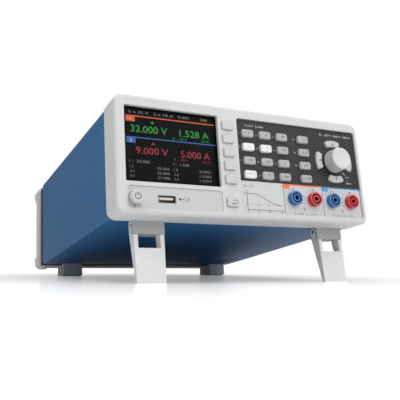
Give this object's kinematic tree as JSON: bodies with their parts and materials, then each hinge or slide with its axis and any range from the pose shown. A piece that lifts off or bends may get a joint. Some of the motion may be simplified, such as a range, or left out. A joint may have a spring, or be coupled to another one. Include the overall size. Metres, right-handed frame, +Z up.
{
  "type": "bench power supply",
  "caption": "Half-rack bench power supply with a front display, keypad, rotary knob and safety output sockets, standing on fold-out tilt legs",
  "frame": {"origin": "centre of the bounding box on the table, with the tilt legs out", "axes": "+Z up, the front panel faces -Y, +X to the right as seen from the front"},
  "size_m": [0.222, 0.2926, 0.1363],
  "materials": {
    "bezel_plastic": "fine moulded grain",
    "case_paint": "satin powder coat",
    "dark_panel": "matt printed film",
    "light_panel": "matt printed film",
    "display_glass": "clear",
    "display_panel": "lit panel",
    "circuit_board": "solder resist",
    "die_cast_zinc": "bright",
    "knob_plastic": "satin",
    "key_plastic": "satin",
    "usb_steel": "bright",
    "socket_blue": "moulded",
    "socket_red": "moulded",
    "contact_nickel": "nickel plate",
    "zinc_plated_steel": "zinc plate",
    "panel_paint": "matt black",
    "foot_plastic": "fine moulded grain",
    "black_plastic": "moulded",
    "transformer_tape": "wound polyester tape over copper and a steel core",
    "heat_sink_aluminium": "extruded"
  },
  "bodies": {
    "case": {"front_bezel": "bezel_plastic", "keypad_fascia": "dark_panel", "terminal_plate": "light_panel", "connector_plate": "light_panel", "display_window": "display_glass", "display_module": "display_panel", "front_board": "circuit_board", "encoder_body": "die_cast_zinc", "usb_socket": "usb_steel", "output_sockets_blue": "socket_blue", "output_sockets_red": "socket_red", "socket_contacts": "contact_nickel", "cover": "case_paint", "chassis": "zinc_plated_steel", "rear_panel": "panel_paint", "rear_frame": "bezel_plastic", "rear_feet": "foot_plastic", "leg_housings": "bezel_plastic", "leg_pins": "zinc_plated_steel", "fan_frame": "black_plastic", "mains_inlet": "black_plastic", "transformer": "transformer_tape", "heat_sink": "heat_sink_aluminium", "main_board": "circuit_board", "screws": "zinc_plated_steel"},
    "keypad_key_1_1": {"keypad_key_1_1": "key_plastic"},
    "keypad_key_1_2": {"keypad_key_1_2": "key_plastic"},
    "keypad_key_1_3": {"keypad_key_1_3": "key_plastic"},
    "keypad_key_1_4": {"keypad_key_1_4": "key_plastic"},
    "keypad_key_2_1": {"keypad_key_2_1": "key_plastic"},
    "keypad_key_2_2": {"keypad_key_2_2": "key_plastic"},
    "keypad_key_2_3": {"keypad_key_2_3": "key_plastic"},
    "keypad_key_2_4": {"keypad_key_2_4": "key_plastic"},
    "keypad_key_3_1": {"keypad_key_3_1": "key_plastic"},
    "keypad_key_3_2": {"keypad_key_3_2": "key_plastic"},
    "keypad_key_3_3": {"keypad_key_3_3": "key_plastic"},
    "keypad_key_3_4": {"keypad_key_3_4": "key_plastic"},
    "keypad_key_4_1": {"keypad_key_4_1": "key_plastic"},
    "keypad_key_4_2": {"keypad_key_4_2": "key_plastic"},
    "keypad_key_4_3": {"keypad_key_4_3": "key_plastic"},
    "keypad_key_4_4": {"keypad_key_4_4": "key_plastic"},
    "soft_key_1": {"soft_key_1": "bezel_plastic"},
    "soft_key_2": {"soft_key_2": "bezel_plastic"},
    "soft_key_3": {"soft_key_3": "bezel_plastic"},
    "soft_key_4": {"soft_key_4": "bezel_plastic"},
    "soft_key_5": {"soft_key_5": "bezel_plastic"},
    "back_key": {"back_key": "bezel_plastic"},
    "arrow_key_right": {"arrow_key_right": "key_plastic"},
    "arrow_key_up": {"arrow_key_up": "key_plastic"},
    "arrow_key_left": {"arrow_key_left": "key_plastic"},
    "arrow_key_down": {"arrow_key_down": "key_plastic"},
    "power_button": {"power_button": "bezel_plastic"},
    "encoder_plunger": {"encoder_plunger": "die_cast_zinc"},
    "knob": {"encoder_shaft": "die_cast_zinc", "knob": "knob_plastic"},
    "left_tilt_leg": {"left_tilt_leg": "bezel_plastic"},
    "right_tilt_leg": {"right_tilt_leg": "bezel_plastic"},
    "mains_rocker": {"mains_rocker": "black_plastic"},
    "fuse_drawer": {"fuse_drawer": "black_plastic"},
    "fan_rotor": {"fan_rotor": "black_plastic"}
  },
  "joints": [
    {"name": "keypad_key_1_1_press", "type": "slide", "parent": "case", "child": "keypad_key_1_1", "axis": [0, 0.9882, -0.1534], "range_m": [0, 0.0008], "stiffness_N_per_m": 1000, "springref_m": -0.0005},
    {"name": "keypad_key_1_2_press", "type": "slide", "parent": "case", "child": "keypad_key_1_2", "axis": [0, 0.9882, -0.1534], "range_m": [0, 0.0008], "stiffness_N_per_m": 1000, "springref_m": -0.0005},
    {"name": "keypad_key_1_3_press", "type": "slide", "parent": "case", "child": "keypad_key_1_3", "axis": [0, 0.9882, -0.1534], "range_m": [0, 0.0008], "stiffness_N_per_m": 1000, "springref_m": -0.0005},
    {"name": "keypad_key_1_4_press", "type": "slide", "parent": "case", "child": "keypad_key_1_4", "axis": [0, 0.9882, -0.1534], "range_m": [0, 0.0008], "stiffness_N_per_m": 1000, "springref_m": -0.0005},
    {"name": "keypad_key_2_1_press", "type": "slide", "parent": "case", "child": "keypad_key_2_1", "axis": [0, 0.9882, -0.1534], "range_m": [0, 0.0008], "stiffness_N_per_m": 1000, "springref_m": -0.0005},
    {"name": "keypad_key_2_2_press", "type": "slide", "parent": "case", "child": "keypad_key_2_2", "axis": [0, 0.9882, -0.1534], "range_m": [0, 0.0008], "stiffness_N_per_m": 1000, "springref_m": -0.0005},
    {"name": "keypad_key_2_3_press", "type": "slide", "parent": "case", "child": "keypad_key_2_3", "axis": [0, 0.9882, -0.1534], "range_m": [0, 0.0008], "stiffness_N_per_m": 1000, "springref_m": -0.0005},
    {"name": "keypad_key_2_4_press", "type": "slide", "parent": "case", "child": "keypad_key_2_4", "axis": [0, 0.9882, -0.1534], "range_m": [0, 0.0008], "stiffness_N_per_m": 1000, "springref_m": -0.0005},
    {"name": "keypad_key_3_1_press", "type": "slide", "parent": "case", "child": "keypad_key_3_1", "axis": [0, 0.9882, -0.1534], "range_m": [0, 0.0008], "stiffness_N_per_m": 1000, "springref_m": -0.0005},
    {"name": "keypad_key_3_2_press", "type": "slide", "parent": "case", "child": "keypad_key_3_2", "axis": [0, 0.9882, -0.1534], "range_m": [0, 0.0008], "stiffness_N_per_m": 1000, "springref_m": -0.0005},
    {"name": "keypad_key_3_3_press", "type": "slide", "parent": "case", "child": "keypad_key_3_3", "axis": [0, 0.9882, -0.1534], "range_m": [0, 0.0008], "stiffness_N_per_m": 1000, "springref_m": -0.0005},
    {"name": "keypad_key_3_4_press", "type": "slide", "parent": "case", "child": "keypad_key_3_4", "axis": [0, 0.9882, -0.1534], "range_m": [0, 0.0008], "stiffness_N_per_m": 1000, "springref_m": -0.0005},
    {"name": "keypad_key_4_1_press", "type": "slide", "parent": "case", "child": "keypad_key_4_1", "axis": [0, 0.9882, -0.1534], "range_m": [0, 0.0008], "stiffness_N_per_m": 1000, "springref_m": -0.0005},
    {"name": "keypad_key_4_2_press", "type": "slide", "parent": "case", "child": "keypad_key_4_2", "axis": [0, 0.9882, -0.1534], "range_m": [0, 0.0008], "stiffness_N_per_m": 1000, "springref_m": -0.0005},
    {"name": "keypad_key_4_3_press", "type": "slide", "parent": "case", "child": "keypad_key_4_3", "axis": [0, 0.9882, -0.1534], "range_m": [0, 0.0008], "stiffness_N_per_m": 1000, "springref_m": -0.0005},
    {"name": "keypad_key_4_4_press", "type": "slide", "parent": "case", "child": "keypad_key_4_4", "axis": [0, 0.9882, -0.1534], "range_m": [0, 0.0008], "stiffness_N_per_m": 1000, "springref_m": -0.0005},
    {"name": "soft_key_1_press", "type": "slide", "parent": "case", "child": "soft_key_1", "axis": [0, 0.9882, -0.1534], "range_m": [0, 0.0008], "stiffness_N_per_m": 1000, "springref_m": -0.0005},
    {"name": "soft_key_2_press", "type": "slide", "parent": "case", "child": "soft_key_2", "axis": [0, 0.9882, -0.1534], "range_m": [0, 0.0008], "stiffness_N_per_m": 1000, "springref_m": -0.0005},
    {"name": "soft_key_3_press", "type": "slide", "parent": "case", "child": "soft_key_3", "axis": [0, 0.9882, -0.1534], "range_m": [0, 0.0008], "stiffness_N_per_m": 1000, "springref_m": -0.0005},
    {"name": "soft_key_4_press", "type": "slide", "parent": "case", "child": "soft_key_4", "axis": [0, 0.9882, -0.1534], "range_m": [0, 0.0008], "stiffness_N_per_m": 1000, "springref_m": -0.0005},
    {"name": "soft_key_5_press", "type": "slide", "parent": "case", "child": "soft_key_5", "axis": [0, 0.9882, -0.1534], "range_m": [0, 0.0008], "stiffness_N_per_m": 1000, "springref_m": -0.0005},
    {"name": "back_key_press", "type": "slide", "parent": "case", "child": "back_key", "axis": [0, 0.9882, -0.1534], "range_m": [0, 0.0008], "stiffness_N_per_m": 1000, "springref_m": -0.0005},
    {"name": "arrow_key_right_press", "type": "slide", "parent": "case", "child": "arrow_key_right", "axis": [0, 0.9882, -0.1534], "range_m": [0, 0.0008], "stiffness_N_per_m": 1000, "springref_m": -0.0005},
    {"name": "arrow_key_up_press", "type": "slide", "parent": "case", "child": "arrow_key_up", "axis": [0, 0.9882, -0.1534], "range_m": [0, 0.0008], "stiffness_N_per_m": 1000, "springref_m": -0.0005},
    {"name": "arrow_key_left_press", "type": "slide", "parent": "case", "child": "arrow_key_left", "axis": [0, 0.9882, -0.1534], "range_m": [0, 0.0008], "stiffness_N_per_m": 1000, "springref_m": -0.0005},
    {"name": "arrow_key_down_press", "type": "slide", "parent": "case", "child": "arrow_key_down", "axis": [0, 0.9882, -0.1534], "range_m": [0, 0.0008], "stiffness_N_per_m": 1000, "springref_m": -0.0005},
    {"name": "power_button_press", "type": "slide", "parent": "case", "child": "power_button", "axis": [0, 0.9882, -0.1534], "range_m": [0, 0.002], "stiffness_N_per_m": 500, "springref_m": -0.001},
    {"name": "encoder_push", "type": "slide", "parent": "case", "child": "encoder_plunger", "axis": [0, 0.9882, -0.1534], "range_m": [0, 0.0005], "stiffness_N_per_m": 1500, "springref_m": -0.0006},
    {"name": "knob_turn", "type": "hinge", "parent": "encoder_plunger", "child": "knob", "pos_m": [0.0826, -0.14461, 0.10245], "axis": [0, -0.9882, 0.1534], "continuous": true},
    {"name": "left_leg_fold", "type": "hinge", "parent": "case", "child": "left_tilt_leg", "pos_m": [-0.08, -0.11597, 0.04184], "axis": [1, 0, 0], "range_deg": [0, 93.2]},
    {"name": "right_leg_fold", "type": "hinge", "parent": "case", "child": "right_tilt_leg", "pos_m": [0.085, -0.11597, 0.04184], "axis": [1, 0, 0], "range_deg": [0, 93.2]},
    {"name": "mains_rocker_tilt", "type": "hinge", "parent": "case", "child": "mains_rocker", "pos_m": [-0.0745, 0.12462, 0.06689], "axis": [1, 0, 0], "range_deg": [-18, 0]},
    {"name": "fuse_drawer_slide", "type": "slide", "parent": "case", "child": "fuse_drawer", "axis": [0, 0.9882, -0.1534], "range_m": [0, 0.014]},
    {"name": "fan_spin", "type": "hinge", "parent": "case", "child": "fan_rotor", "pos_m": [0.054, 0.09837, 0.05553], "axis": [0, -0.9882, 0.1534], "continuous": true}
  ]
}
